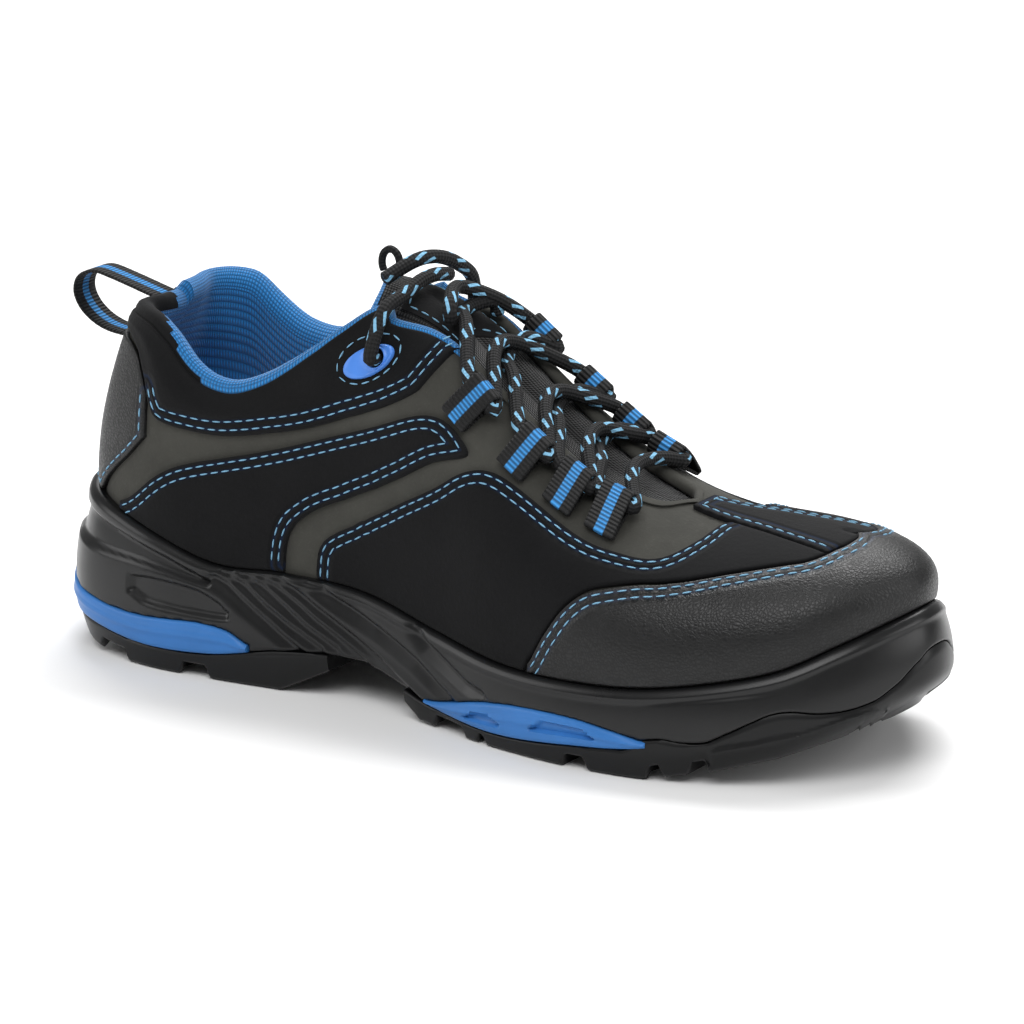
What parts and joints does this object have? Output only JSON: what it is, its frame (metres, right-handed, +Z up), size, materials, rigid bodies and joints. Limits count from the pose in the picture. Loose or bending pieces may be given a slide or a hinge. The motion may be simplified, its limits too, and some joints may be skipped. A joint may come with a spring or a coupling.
{
  "type": "safety sneaker",
  "caption": "Low lace-up safety sneaker with a sculpted two-part sole, sewn overlays, a broad toe cap and a padded collar.",
  "frame": {"origin": "on the floor, on the heel's tread under the middle of the heel", "axes": "+X towards the toe, +Y towards the inner side of a right shoe, +Z up"},
  "size_m": [0.3047, 0.1081, 0.1342],
  "materials": {
    "midsole": "satin",
    "tread": "satin",
    "insert": "satin",
    "upper_leather": "matt",
    "panel_leather": "matt",
    "grained_leather": "satin",
    "lining": "matt",
    "tongue_mesh": "matt",
    "eyelet": "satin",
    "lace": "matt",
    "webbing": "matt"
  },
  "bodies": {
    "root": {"midsole": "midsole", "outsole_heel": "tread", "outsole_forefoot": "tread", "heel_insert": "insert", "forefoot_insert_lateral": "insert", "forefoot_insert_medial": "insert", "upper": "upper_leather", "insole": "lining", "tongue": "tongue_mesh", "collar_panel": "panel_leather", "heel_counter": "grained_leather", "side_panel_lateral": "panel_leather", "side_panel_medial": "panel_leather", "quarter_panel_lateral": "panel_leather", "quarter_panel_medial": "panel_leather", "toe_cap": "grained_leather", "vamp_strip": "panel_leather", "eyelet_lateral": "eyelet", "eyelet_medial": "eyelet", "lace": "lace", "lace_end_1": "lace", "lace_end_2": "lace", "heel_pull_loop": "webbing", "tongue_loop": "webbing", "lace_loop_lateral_1": "webbing", "lace_loop_lateral_2": "webbing", "lace_loop_lateral_3": "webbing", "lace_loop_lateral_4": "webbing", "lace_loop_medial_1": "webbing", "lace_loop_medial_2": "webbing", "lace_loop_medial_3": "webbing", "lace_loop_medial_4": "webbing"}
  },
  "joints": []
}
